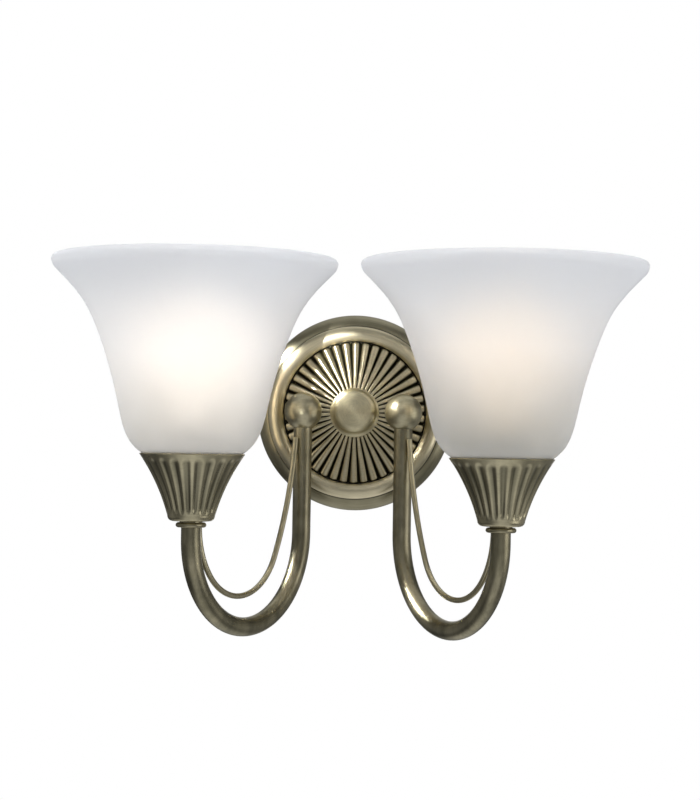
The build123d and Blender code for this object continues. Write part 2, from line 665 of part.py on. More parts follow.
def turned_part(inner, outer, low, high, angle):
    """Part of a ring, from the XZ plane anticlockwise through an angle."""
    middle = Pos((inner + outer) / 2, (low + high) / 2)
    return revolve(Plane.XZ * middle * Rectangle(outer - inner, high - low), Axis.Z, angle)


def make_skirt():
    skirt = tube(SKIRT_R, SKIRT_BORE_R, CAP_RIM_Z + SEAT_GAP, SKIRT_TOP_Z)
    return skirt + tube(FLANGE_R, SKIRT_BORE_R, FLANGE_TOP_Z - FLANGE_T, FLANGE_TOP_Z)


def make_plungers():
    top = CONTACT_Z - SEAT_GAP
    pins = []
    for x in (-CONTACT_X, CONTACT_X):
        pin = rod(PLUNGER_R, PLUNGER_HEAD_Z - CUT, top)
        pin += rod(PLUNGER_HEAD_R, PLUNGER_HEAD_Z - PLUNGER_HEAD_T, PLUNGER_HEAD_Z)
        pins.append(Pos(x, 0, 0) * pin)
    return pins


def make_plunger_springs():
    top = PLUNGER_HEAD_Z - PLUNGER_HEAD_T
    spring = tube(SPRING_R, SPRING_BORE_R, CORE_FLOOR_Z, top)
    return [Pos(x, 0, 0) * spring for x in (-CONTACT_X, CONTACT_X)]


# ---------------------------------------------------------------- glass shade
def make_shade():
    bowl_start = (BOWL_START_R, GLASS_BOTTOM_Z)
    shoulder = (SHOULDER_R, GLASS_SHOULDER_Z)
    bowl = TangentArc(bowl_start, shoulder, tangent=(1, 0))
    flare_end = (FLARE_END_R, FLARE_END_Z)
    bell = Spline(shoulder, *BELL, flare_end, tangents=[bowl % 1, (1, 1)])
    outer_lip = TangentArc(flare_end, (MOUTH_R, MOUTH_Z), tangent=(1, 1))
    floor_z = GLASS_BOTTOM_Z + GLASS_FLOOR_T
    inner = []
    for share in (0, 0.2, 0.4, 0.6, 0.8, 0.92, 1):
        along = bell % share
        inner.append(bell @ share + Vector(-along.Y, along.X) * GLASS_T)
    inner_lip = inner[-1] + Vector(*LIP_INNER_STEP)
    inner_start_slope = bell % 0
    inner_bowl = TangentArc(inner[0], (GLASS_FLOOR_R, floor_z), tangent=-inner_start_slope)
    body = turned(
        Line((HOLE_R, GLASS_BOTTOM_Z), bowl_start),
        bowl,
        bell,
        outer_lip,
        TangentArc((MOUTH_R, MOUTH_Z), (LIP_TOP_R, LIP_TOP_Z), tangent=outer_lip % 1),
        Line((LIP_TOP_R, LIP_TOP_Z), inner_lip),
        Line(inner_lip, inner[-1]),
        Spline(*reversed(inner), tangents=[(-1, -1), -inner_start_slope]),
        inner_bowl,
        Line(inner_bowl @ 1, (HOLE_R, floor_z)),
    )
    return body


def make_gasket(low):
    return tube(GASKET_R, HOLE_R, low, low + GASKET_T)


def make_shade_ring():
    """The threaded ring that clamps the glass, with grip ridges round its edge."""
    ring = tube(GASKET_R - RING_RIDGE_R, SKIRT_R + RUN_FIT, RING_Z, RING_Z + RING_T)
    ridge = Pos(GASKET_R - RING_RIDGE_R, 0, 0) * rod(RING_RIDGE_R, RING_Z, RING_Z + RING_T)
    return ring + [Rot(0, 0, 360 * i / RING_RIDGES) * ridge for i in range(RING_RIDGES)]


# ---------------------------------------------------------------- lamp
def make_lamp_cap():
    inner_r = LAMP_CAP_R - LAMP_CAP_T
    flare_inner_r = LAMP_FLARE_R - LAMP_CAP_T
    corner_r = LAMP_CAP_R - LAMP_CAP_CHAMFER
    corner_z = LAMP_CAP_BOTTOM_Z + LAMP_CAP_CHAMFER
    shell = turned(
        Line((VITRITE_R, LAMP_CAP_BOTTOM_Z), (corner_r, LAMP_CAP_BOTTOM_Z)),
        Line((corner_r, LAMP_CAP_BOTTOM_Z), (LAMP_CAP_R, corner_z)),
        Line((LAMP_CAP_R, corner_z), (LAMP_CAP_R, LAMP_CAP_TOP_Z)),
        Line((LAMP_CAP_R, LAMP_CAP_TOP_Z), (LAMP_FLARE_R, LAMP_FLARE_Z)),
        Line((LAMP_FLARE_R, LAMP_FLARE_Z), (flare_inner_r, LAMP_FLARE_Z)),
        Line((flare_inner_r, LAMP_FLARE_Z), (inner_r, LAMP_CAP_TOP_Z)),
        Line((inner_r, LAMP_CAP_TOP_Z), (inner_r, corner_z)),
        Line((inner_r, corner_z), (VITRITE_R, corner_z)),
    )
    pin = Pos(0, 0, PIN_Z) * Rot(0, 90, 0) * rod(PIN_R, LAMP_CAP_R - LAMP_CAP_T / 2, PIN_TIP_R)
    for turn in (0, 180):
        shell += Rot(0, 0, turn) * pin
    return shell


def make_lamp_insulator():
    step_z = LAMP_CAP_BOTTOM_Z + LAMP_CAP_CHAMFER
    disc = rod(VITRITE_R, VITRITE_Z, step_z)
    return disc + rod(LAMP_FOOT_R, step_z, step_z + VITRITE_L)


def make_lamp_contacts():
    pad = rod(CONTACT_PAD_R, CONTACT_Z, VITRITE_Z)
    return [Pos(x, 0, 0) * pad for x in (-CONTACT_X, CONTACT_X)]


def lamp_line(inset):
    """The bulb's line from the top down to the neck's end, drawn in by an inset."""
    ball_r = LAMP_R - inset
    neck_z = LAMP_FLARE_Z + LAMP_NECK_L
    height = LAMP_CENTRE_Z - neck_z
    bend = (LAMP_NECK_R ** 2 + height ** 2 - LAMP_R ** 2) / (2 * (LAMP_R - LAMP_NECK_R))
    slope = math.atan2(height, LAMP_NECK_R + bend)
    leave = (ball_r * math.cos(slope), LAMP_CENTRE_Z - ball_r * math.sin(slope))
    ball = ThreePointArc((0, LAMP_CENTRE_Z + ball_r), (ball_r, LAMP_CENTRE_Z), leave)
    neck = TangentArc(leave, (LAMP_NECK_R - inset, neck_z), tangent=ball % 1)
    foot_r = LAMP_FOOT_R - inset
    step_z = LAMP_FLARE_Z + LAMP_STEP_RISE + inset
    return [
        ball,
        neck,
        Line((LAMP_NECK_R - inset, neck_z), (LAMP_NECK_R - inset, step_z)),
        Line((LAMP_NECK_R - inset, step_z), (foot_r, step_z - LAMP_STEP_FALL)),
        Line((foot_r, step_z - LAMP_STEP_FALL), (foot_r, LAMP_FOOT_Z)),
        Line((foot_r, LAMP_FOOT_Z), (0, LAMP_FOOT_Z)),
    ]


def make_lamp_glass():
    return turned(*lamp_line(0)) - turned(*lamp_line(LAMP_GLASS_T))


def make_lamp_stem():
    """The glass mount inside the bulb."""
    flare_z = STEM_FOOT_Z + STEM_FLARE_L
    under_z = STEM_FOOT_Z - STEM_FOOT_T
    return turned(
        Line((0, STEM_TOP_Z), (STEM_R, STEM_TOP_Z)),
        Line((STEM_R, STEM_TOP_Z), (STEM_R, flare_z)),
        TangentArc((STEM_R, flare_z), (STEM_FOOT_R, STEM_FOOT_Z), tangent=(0, -1)),
        Line((STEM_FOOT_R, STEM_FOOT_Z), (STEM_FOOT_R, under_z)),
        Line((STEM_FOOT_R, under_z), (0, under_z)),
    )


def make_filament():
    """Two lead wires and the filament between them, as one bent wire."""
    foot_x = STEM_R / 2
    corners = [
        (foot_x, STEM_TOP_Z + LEAD_R),
        (FILAMENT_HALF, FILAMENT_Z),
        (0, FILAMENT_Z + FILAMENT_RISE),
        (-FILAMENT_HALF, FILAMENT_Z),
        (-foot_x, STEM_TOP_Z + LEAD_R),
    ]
    path = FilletPolyline(*corners, radius=LEAD_BEND_R)
    start = Plane(path @ 0, z_dir=path % 0)
    return Plane.XZ * sweep(start * Circle(LEAD_R), path)


# ---------------------------------------------------------------- build
os.makedirs("parts", exist_ok=True)

save("wall_bracket", make_bracket())
save("bracket_stud", make_stud())
save("backplate", make_backplate())
save("centre_boss", make_boss())
save("terminal_block", make_terminal_block())
save_group("terminal_screws", make_terminal_screws())
save_group("block_screws", make_block_screws())
save("earth_washer", make_earth_washer())
save("earth_screw", make_earth_screw())

nut_top = PLATE_BACK - WASHER_T
back_nut = hexagon_nut(NUT_ACROSS, THREAD_BORE_R, nut_top - NUT_T, nut_top)
back_washer = tube(WASHER_R, NIPPLE_R + CLEAR_FIT, PLATE_BACK - WASHER_T, PLATE_BACK)
cup_nut = hexagon_nut(NUT_ACROSS, THREAD_BORE_R, CUP_FLOOR_Z, CUP_FLOOR_Z + NUT_T)
save_group("nipple_nuts", [at_arm_root(side, back_nut) for side in BOTH_SIDES])
save_group("nipple_washers", [at_arm_root(side, back_washer) for side in BOTH_SIDES])
save_group("cup_nuts", [on_holder(side, cup_nut) for side in BOTH_SIDES])
gaskets = [make_gasket(FLANGE_TOP_Z), make_gasket(RING_Z - GASKET_T)]
save_group("shade_gaskets", [on_holder(side, ring) for side in BOTH_SIDES for ring in gaskets])

fluted_cup = make_cup()
holder_pieces = {
    "holder_cap": make_holder_cap(),
    "holder_core": make_holder_core(),
    "holder_barrel": make_barrel(),
    "holder_skirt": make_skirt(),
    "shade": make_shade(),
    "shade_ring": make_shade_ring(),
    "lamp_cap": make_lamp_cap(),
    "lamp_insulator": make_lamp_insulator(),
    "lamp_glass": make_lamp_glass(),
    "lamp_stem": make_lamp_stem(),
    "lamp_filament": make_filament(),
}
holder_pairs = {
    "holder_terminals": make_terminals(),
    "plungers": make_plungers(),
    "plunger_springs": make_plunger_springs(),
    "lamp_contacts": make_lamp_contacts(),
}
for hand, side in (("left", -1), ("right", 1)):
    save(f"{hand}_arm_spacer", make_spacer(side))
    save(f"{hand}_arm_nipple", make_nipple(side))
    save(f"{hand}_arm_ball", make_ball(side))
    save(f"{hand}_arm_tube", make_arm_tube(side))
    save(f"{hand}_scroll_rod", make_scroll_rod(side))
    save(f"{hand}_collar", make_collar(side))
    save(f"{hand}_cup", on_holder(side, fluted_cup))
    for name, shape in holder_pieces.items():
        save(f"{hand}_{name}", on_holder(side, shape))
    for name, shapes in holder_pairs.items():
        save_group(f"{hand}_{name}", [on_holder(side, shape) for shape in shapes])
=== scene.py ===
"""Looks of the double arm wall light: antique brass, frosted glass bells and lit lamps."""
import math

import bmesh
import bpy
import numpy as np
from mathutils import Matrix, Vector


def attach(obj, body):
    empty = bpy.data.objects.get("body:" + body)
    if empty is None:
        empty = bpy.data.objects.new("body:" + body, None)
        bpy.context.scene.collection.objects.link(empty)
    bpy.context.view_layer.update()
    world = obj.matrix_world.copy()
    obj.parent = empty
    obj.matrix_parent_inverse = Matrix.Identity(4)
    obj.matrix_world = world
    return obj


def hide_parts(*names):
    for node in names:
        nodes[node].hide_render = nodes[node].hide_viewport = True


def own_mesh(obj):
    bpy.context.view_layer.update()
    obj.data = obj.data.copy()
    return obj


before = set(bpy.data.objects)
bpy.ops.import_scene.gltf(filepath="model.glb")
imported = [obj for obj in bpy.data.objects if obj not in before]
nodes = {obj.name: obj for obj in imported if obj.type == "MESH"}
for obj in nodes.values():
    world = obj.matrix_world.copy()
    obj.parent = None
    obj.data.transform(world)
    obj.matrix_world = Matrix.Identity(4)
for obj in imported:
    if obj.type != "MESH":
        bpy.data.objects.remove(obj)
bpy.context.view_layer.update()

MM = 0.001
OUT_X, OUT_Y = 0.086228, -0.123803     # axes of the two front legs
BALL_X, BALL_Y = 0.0303, -0.0343       # centres of the two balls
SIDES = (("left", -1), ("right", 1))


# ---------------------------------------------------------------- node helpers
class Shader:
    """A material under construction: short calls for the nodes that it needs."""

    def __init__(self, name):
        self.material = bpy.data.materials.new(name)
        self.material.use_nodes = True
        self.tree = self.material.node_tree
        self.tree.nodes.clear()
        self.out = self.tree.nodes.new("ShaderNodeOutputMaterial")

    def node(self, kind, **settings):
        made = self.tree.nodes.new("ShaderNode" + kind)
        for key, value in settings.items():
            setattr(made, key, value)
        return made

    def link(self, source, target):
        self.tree.links.new(source, target)

    def put(self, value, socket):
        """A number, a colour or another node's output goes into a socket."""
        if isinstance(value, bpy.types.NodeSocket):
            self.link(value, socket)
        elif isinstance(value, tuple) and len(value) == 3 and len(socket.default_value) == 4:
            socket.default_value = (*value, 1)
        else:
            socket.default_value = value

    def math(self, operation, *values, clamp=False):
        made = self.node("Math", operation=operation, use_clamp=clamp)
        for value, socket in zip(values, made.inputs):
            self.put(value, socket)
        return made.outputs[0]

    def vector(self, operation, a, b):
        made = self.node("VectorMath", operation=operation)
        self.put(a, made.inputs[0])
        self.put(b, made.inputs[1])
        return made.outputs[0]

    def combine(self, x, y, z):
        made = self.node("CombineXYZ")
        for value, socket in zip((x, y, z), made.inputs):
            self.put(value, socket)
        return made.outputs[0]

    def place(self):
        return self.node("TexCoord").outputs["Object"]

    def noise(self, vector, scale=1.0, detail=2.0, roughness=0.5, w=None):
        made = self.node("TexNoise", noise_dimensions="3D" if w is None else "4D")
        self.put(vector, made.inputs["Vector"])
        if w is not None:
            self.put(w, made.inputs["W"])
        made.inputs["Scale"].default_value = scale
        made.inputs["Detail"].default_value = detail
        made.inputs["Roughness"].default_value = roughness
        return made.outputs[0]

    def span(self, value, low, high, to_low=0.0, to_high=1.0):
        made = self.node("MapRange")
        for item, socket in zip((value, low, high, to_low, to_high), made.inputs):
            self.put(item, socket)
        return made.outputs[0]

    def mix(self, share, a, b, blend="MIX"):
        made = self.node("Mix", data_type="RGBA", blend_type=blend)
        self.put(share, made.inputs[0])
        self.put(a, made.inputs[6])
        self.put(b, made.inputs[7])
        return made.outputs[2]

    def bump(self, height, strength, distance):
        made = self.node("Bump")
        made.inputs["Strength"].default_value = strength
        made.inputs["Distance"].default_value = distance
        self.put(height, made.inputs["Height"])
        return made.outputs[0]

    def surface(self, **values):
        """The principled shader, with its sockets named by keyword."""
        made = self.node("BsdfPrincipled")
        for key, value in values.items():
            self.put(value, made.inputs[key.replace("_", " ")])
        self.link(made.outputs[0], self.out.inputs[0])
        return made


def dress(material, *names):
    """Gives CAD nodes a material."""
    for name in names:
        mesh = nodes[name].data
        mesh.materials.clear()
        mesh.materials.append(material)


def both(*names):
    return [f"{hand}_{name}" for hand, _ in SIDES for name in names]


# ---------------------------------------------------------------- mesh helpers
def placed(name, data):
    """A new object in the scene."""
    made = bpy.data.objects.new(name, data)
    bpy.context.scene.collection.objects.link(made)
    return made


def arc(start, middle, end, count):
    """Points along the circle through three points."""
    (ax, ay), (bx, by), (cx, cy) = start, middle, end
    d = 2 * (ax * (by - cy) + bx * (cy - ay) + cx * (ay - by))
    a2, b2, c2 = ax * ax + ay * ay, bx * bx + by * by, cx * cx + cy * cy
    ox = (a2 * (by - cy) + b2 * (cy - ay) + c2 * (ay - by)) / d
    oy = (a2 * (cx - bx) + b2 * (ax - cx) + c2 * (bx - ax)) / d
    first, via, last = (math.atan2(y - oy, x - ox) for x, y in (start, middle, end))
    full = 2 * math.pi
    if (via - first) % full > (last - first) % full:
        sweep = (last - first) % full - full
    else:
        sweep = (last - first) % full
    turn = first + np.linspace(0, 1, count) * sweep
    radius = math.hypot(ax - ox, ay - oy)
    return [(ox + radius * math.cos(t), oy + radius * math.sin(t)) for t in turn]


def line(start, end, count=2):
    return [tuple(p) for p in np.linspace(start, end, count)]


def loop(*runs):
    """Runs of points that meet end to end, as one closed loop without doubled points."""
    points = []
    for run in runs:
        for point in run:
            if not points or math.dist(points[-1], point) > 1e-6:
                points.append(point)
    if math.dist(points[0], points[-1]) < 1e-6:
        points.pop()
    return np.array(points)


def turned_piece(name, section, steps, place, relief=None, crease=35):
    """A solid of revolution from a closed section in millimetres. relief(r, h, angle) gives the
    section's new r and h, and from 0 to 1 how dark each point is painted with patina and shade,
    and how far it is painted paler as polish and sheen."""
    angle = np.linspace(0, 2 * math.pi, steps, endpoint=False)
    rows = len(section)
    r = np.repeat(section[:, 0][:, None], steps, 1)
    h = np.repeat(section[:, 1][:, None], steps, 1)
    patina_and_shade, polish_and_sheen = np.zeros_like(r), np.zeros_like(r)
    if relief:
        r, h, patina_and_shade, polish_and_sheen = relief(r, h, np.repeat(angle[None, :], rows, 0))
    x, y, z = place(r * np.cos(angle), r * np.sin(angle), h)
    points = np.stack([x, y, z], -1).reshape(-1, 3) * MM
    i, j = np.meshgrid(np.arange(rows), np.arange(steps), indexing="ij")
    below, beside = (i + 1) % rows, (j + 1) % steps
    corners = [i * steps + j, i * steps + beside, below * steps + beside, below * steps + j]
    quads = np.stack(corners, -1)
    mesh = bpy.data.meshes.new(name)
    mesh.from_pydata(points.tolist(), [], quads.reshape(-1, 4).tolist())
    for key, value in (("patina_and_shade", patina_and_shade), ("polish_and_sheen", polish_and_sheen)):
        layer = mesh.attributes.new(key, "FLOAT", "POINT")
        layer.data.foreach_set("value", value.astype(np.float32).ravel())
    weld = bmesh.new()
    weld.from_mesh(mesh)
    bmesh.ops.remove_doubles(weld, verts=weld.verts, dist=1e-7)
    weld.to_mesh(mesh)
    weld.free()
    mesh.shade_smooth()
    mesh.set_sharp_from_angle(angle=math.radians(crease))
    return placed(name, mesh)


def on_wall(x, z, depth):
    return x, -depth, z


def on_leg(side):
    def place(x, y, z):
        return x + side * OUT_X * 1000, y + OUT_Y * 1000, z
    return place


# ---------------------------------------------------------------- fluted backplate
FIELD_DEPTH, FIELD_R = 12.0, 43.6
RIB_COUNT = 42
RIB_STEPS = 16                           # mesh columns to a rib
RIB_START, RIB_END = 15.2, 42.3          # the rib's inner end, and where its blunt end begins
RIB_HALF_IN, RIB_HALF_OUT = 0.98, 2.56
RIB_BLUNT = 1.25                         # how far the blunt end reaches
DOME_IN, DOME_OUT = 1.0, -0.3            # the ribbed field swells towards the boss
GROOVE = 0.6                             # how far the grooves between the ribs go below the field
PAD_X, PAD_R = 30.3, 8.3                 # bare rounds of the field behind the balls
RING_IN, RING_OUT = 44.0, 53.0           # radii of the raised ring
RING_CREST = (49.0, 17.0)
PLATE_R = 60.4
FOOT_DEPTH = 3.6                         # height of the plate's straight edge at the wall
BORE_R = 3.15
BACK_DEPTH = 10.9                        # wall to the back of the field
# The flange is painted darker: painted shade.
FLANGE_PAINTED_SHADE = 0.34
# The rib crests are painted paler: rubbed-back metal with a painted sheen.
RIB_POLISH_AND_SHEEN = 0.5


def ribs(r, h, angle):
    """Rounded ribs with blunt outer ends on a slightly domed field, with grooves between. The flanks,
    the grooves, the ring's foot and groove and the flange are painted darker: patina with painted
    shade. The ring and the rib crests are painted paler: rubbed-back metal with a painted sheen.
    """
    turn = (angle * RIB_COUNT / (2 * math.pi)) % 1 - 0.5
    turn = turn * 2 * math.pi / RIB_COUNT
    along, across = r * np.cos(turn), r * np.sin(turn)
    share = np.clip((along - RIB_START) / (RIB_END - RIB_START), 0, 1)
    half = RIB_HALF_IN + (RIB_HALF_OUT - RIB_HALF_IN) * share
    away = np.sqrt((across / half) ** 2 + (np.maximum(along - RIB_END, 0) / RIB_BLUNT) ** 2)
    crest = (0.62 + 1.2 * share) * np.sqrt(np.maximum(1 - away ** 2, 0))
    height = np.where(away < 1, crest - 0.1, -GROOVE * np.clip((away - 1) * 6, 0, 1))
    in_field = (np.abs(h - FIELD_DEPTH) < 1e-6) & (r > RIB_START - 0.1) & (r < FIELD_R - 0.02)
    to_pad = np.minimum(np.hypot(r * np.cos(angle) - PAD_X, r * np.sin(angle)),
                        np.hypot(r * np.cos(angle) + PAD_X, r * np.sin(angle)))
    ribbed = in_field & (to_pad > PAD_R)
    dome = DOME_IN + (DOME_OUT - DOME_IN) * (r - RIB_START) / (FIELD_R - RIB_START)
    # Rib flanks and the grooves between them are darkened: patina with painted shade.
    patina_and_shade = np.clip((away - 0.45) / 0.55, 0, 1) ** 1.6
    patina_and_shade = np.where(ribbed, patina_and_shade, 0)
    # The groove round the ring and the ring's foot are painted fully dark: painted shade in the
    # creases, with patina.
    groove = (np.abs(r - RING_OUT) < 0.25) & (h < 14.3) & (h > 12.0)
    foot = (r > FIELD_R - 0.1) & (r < RING_IN) & (h < 13.4) & (h > 11.5)
    flange = np.where((r > 53.2) & (h > 0.5), FLANGE_PAINTED_SHADE, 0)
    patina_and_shade = np.where(groove | foot, 1, np.maximum(patina_and_shade, flange))
    # The ring is painted paler and warmer all round: rubbed-back metal with a painted warm sheen.
    on_ring = (r > 43.9) & (r < 53.05) & (h > 13.0)
    polish_and_sheen = np.where(on_ring, 1.0, np.where(ribbed, RIB_POLISH_AND_SHEEN, 0.0))
    return r, h + np.where(ribbed, height + dome, 0), patina_and_shade, polish_and_sheen


plate_section = loop(
    line((BORE_R, FIELD_DEPTH), (15.0, FIELD_DEPTH), 4),
    line((15.15, FIELD_DEPTH), (41.4, FIELD_DEPTH), 34),
    line((41.6, FIELD_DEPTH), (FIELD_R, FIELD_DEPTH), 16),
    line((FIELD_R, FIELD_DEPTH), (RING_IN, 14.0), 5),
    arc((RING_IN, 14.0), RING_CREST, (52.9, 14.6), 24),
    line((52.9, 14.6), (RING_OUT, 14.2), 2),
    line((RING_OUT, 14.2), (RING_OUT, 12.4), 4),
    arc((53.2, 12.4), (58.4, 9.2), (PLATE_R, FOOT_DEPTH), 18),
    line((PLATE_R, FOOT_DEPTH), (PLATE_R, 0), 3),
    line((59.4, 0), (59.4, 2.6), 2),
    arc((59.4, 2.6), (57.4, 8.2), (52.0, 11.2), 8),
    line((52.0, 11.2), (52.0, 13.4), 2),
    arc((52.0, 13.4), (49.0, 16.0), (45.0, 13.0), 9),
    line((44.6, BACK_DEPTH), (BORE_R, BACK_DEPTH), 2),
)
plate = turned_piece("fluted_backplate", plate_section, RIB_COUNT * RIB_STEPS, on_wall, ribs)
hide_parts("backplate")
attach(plate, "fixture")

BOSS_LEAN = 0.32                         # rise for each millimetre forward of the foot
BOSS_FOOT, BOSS_FACE = 13.1, 18.35       # depths
BOSS_R = 15.2
BOSS_BORE_R, BOSS_BORE_END = 3.05, 17.0
boss_section = loop(
    line((0, BOSS_FACE), (9.3, BOSS_FACE), 24),
    arc((9.3, BOSS_FACE), (11.9, 17.6), (13.2, 15.5), 14),
    arc((13.2, 15.5), (13.7, 14.1), (BOSS_R, BOSS_FOOT), 12),
    line((BOSS_R, BOSS_FOOT), (15.25, FIELD_DEPTH), 3),
    line((15.25, FIELD_DEPTH), (BOSS_BORE_R, FIELD_DEPTH), 2),
    line((BOSS_BORE_R, BOSS_BORE_END), (0, BOSS_BORE_END), 2),
)


def leaning(x, z, depth):
    """The photo shows the boss's face a little higher than its foot."""
    return x, -depth, z + BOSS_LEAN * np.maximum(depth - BOSS_FOOT, 0)


boss = turned_piece("turned_boss", boss_section, 192, leaning)
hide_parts("centre_boss")
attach(boss, "fixture")

# ---------------------------------------------------------------- fluted cups
CUP_LOW, CUP_HIGH = (13.3, -60.5), (29.4, -26.3)
CUP_MIDDLE = (19.6, -43.4)
FLUTE_COUNT = 24
FLUTE_DEPTH = 0.75
FLUTE_SHARE = 0.92                       # of the room between two lands
FLUTE_LOW, FLUTE_HIGH = 4.4, 6.2         # where the arched ends begin, from the bottom and the rim
ARCH_LOW, ARCH_HIGH = 4.0, 4.4           # how far the arched ends reach
# How dark the flutes are painted: patina with painted shade.
FLUTE_PATINA_AND_SHADE = 0.6
CUP_CORNER = 3                           # radius between the side and the bottom
CUP_BOTTOM, CUP_FLOOR = -63.5, -61.7
CUP_BORE_R = 5.05
cup_line = arc(CUP_LOW, CUP_MIDDLE, CUP_HIGH, 72)
cup_steps = [math.dist(a, b) for a, b in zip(cup_line, cup_line[1:])]
cup_run = np.concatenate([[0], np.cumsum(cup_steps)])


def flutes(r, h, angle):
    """Soft concave flutes with arched ends, pressed in along the cup's side, darkened with patina and
    painted shade.
    """
    turn = ((angle * FLUTE_COUNT / (2 * math.pi) + 0.5) % 1 - 0.5) * 2 * math.pi / FLUTE_COUNT
    rows = np.arange(len(cup_line))
    run = np.zeros(len(r))
    run[rows] = cup_run
    on_side = np.zeros(len(r), bool)
    on_side[rows] = True
    low, high = FLUTE_LOW, cup_run[-1] - FLUTE_HIGH
    past = (np.maximum(low - run, 0) / ARCH_LOW + np.maximum(run - high, 0) / ARCH_HIGH)[:, None]
    half = FLUTE_SHARE * math.pi * r / FLUTE_COUNT
    away = np.sqrt((r * np.sin(turn) / half) ** 2 + past ** 2)
    dent = np.where(on_side[:, None], 0.5 + 0.5 * np.cos(np.minimum(away, 1) * math.pi), 0)
    slope = np.gradient(np.array(cup_line), axis=0)
    slope /= np.linalg.norm(slope, axis=1)[:, None]
    normal = np.zeros((len(r), 2))
    normal[rows] = np.stack([slope[:, 1], -slope[:, 0]], -1)
    r, h = r - normal[:, :1] * dent * FLUTE_DEPTH, h - normal[:, 1:] * dent * FLUTE_DEPTH
    return r, h, FLUTE_PATINA_AND_SHADE * dent, 0 * dent


corner = CUP_CORNER * (1 - math.sqrt(0.5))
cup_section = loop(
    cup_line,
    arc(CUP_HIGH, (28.9, -25.8), (28.4, -26.3), 7),
    arc((28.4, -26.3), (17.65, -43.4), (11.35, -60.5), 24),
    line((11.35, CUP_FLOOR), (CUP_BORE_R, CUP_FLOOR)),
    line((CUP_BORE_R, CUP_BOTTOM), (10.3, CUP_BOTTOM)),
    arc((10.3, CUP_BOTTOM), (CUP_LOW[0] - corner, CUP_BOTTOM + corner), CUP_LOW, 9),
)

# ---------------------------------------------------------------- antique brass
OLIVE_DARK = (0.085, 0.083, 0.058)
BRASS_MID = (0.42, 0.376, 0.240)
BRASS_PALE = (0.60, 0.538, 0.36)
BRASS_BRIGHT = (0.87, 0.765, 0.525)


def polar(s, centre, axis):
    """Distance from a line through centre, direction round it as two numbers, and place along it."""
    local = s.vector("SUBTRACT", s.place(), centre)
    split = s.node("SeparateXYZ")
    s.put(local, split.inputs[0])
    x, y, z = split.outputs
    a, b, along = (x, z, y) if axis == "Y" else (x, y, z)
    radius = s.math("SQRT", s.math("ADD", s.math("MULTIPLY", a, a), s.math("MULTIPLY", b, b)))
    safe = s.math("MAXIMUM", radius, 1e-5)
    return radius, s.math("DIVIDE", a, safe), s.math("DIVIDE", b, safe), along


def brass(name, streaks, roughness=0.3, grain=0.12, pale=1.0, brushed=0.0, patina=0.0):
    """Antique brass: dark olive patina with painted shade where the mesh marks its recesses, and
    paler, warmer metal where the mesh marks polish, partly rubbed back and partly a painted sheen.
    streaks(s) gives the coordinates of the brush marks, one unit to a mark. Brushed work spreads its
    highlights across the marks round the Y axis, and patina is how dark the clouds on the plain
    surface get."""
    s = Shader(name)
    marks, w = streaks(s)
    fine = s.noise(marks, w=w, scale=1.0, detail=2, roughness=0.6)
    cloud = s.noise(s.place(), scale=45, detail=3, roughness=0.55)
    patina_and_shade_fac = s.node("Attribute", attribute_name="patina_and_shade").outputs["Fac"]
    tone = s.math("ADD", s.math("MULTIPLY", fine, 0.4), s.math("MULTIPLY", cloud, 0.6))
    mid, light = (tuple(c * pale for c in colour) for colour in (BRASS_MID, BRASS_PALE))
    body = s.mix(s.span(tone, 0.35, 0.65), mid, light)
    polish_and_sheen_fac = s.node("Attribute", attribute_name="polish_and_sheen").outputs["Fac"]
    body = s.mix(polish_and_sheen_fac, body, s.mix(s.span(tone, 0.35, 0.65), BRASS_PALE, BRASS_BRIGHT))
    drawn_out = s.vector("MULTIPLY", s.place(), (1.0, 1.0, 0.45))
    clouds = s.noise(drawn_out, scale=70, detail=4, roughness=0.6)
    body = s.mix(s.span(clouds, 0.40, 0.62, 0.0, patina), body, OLIVE_DARK)
    shader = s.surface(
        Base_Color=s.mix(patina_and_shade_fac, body, OLIVE_DARK),
        Metallic=1.0,
        Roughness=s.span(tone, 0.35, 0.65, roughness + 0.05, roughness - 0.04),
        Normal=s.bump(fine, grain, 0.00003),
    )
    if brushed:
        shader.inputs["Anisotropic"].default_value = brushed
        shader.inputs["Anisotropic Rotation"].default_value = 0.25
        tangent = s.node("Tangent", direction_type="RADIAL", axis="Y")
        s.link(tangent.outputs[0], shader.inputs["Tangent"])
    return s.material


def turned_marks(centre, axis, pitch=0.0005, sweep=3.0):
    """Brush marks that run round an axis."""
    def marks(s):
        radius, a, b, along = polar(s, centre, axis)
        level = s.math("MULTIPLY", radius, 1 / pitch)
        round_it = s.combine(s.math("MULTIPLY", a, sweep), s.math("MULTIPLY", b, sweep), level)
        return round_it, s.math("MULTIPLY", along, 1 / pitch)
    return marks


def plain_marks(scale=(900, 900, 60)):
    """Brush marks that run along Z."""
    def marks(s):
        return s.vector("MULTIPLY", s.place(), scale), 0.0
    return marks


def coat(piece, material):
    piece.data.materials.append(material)


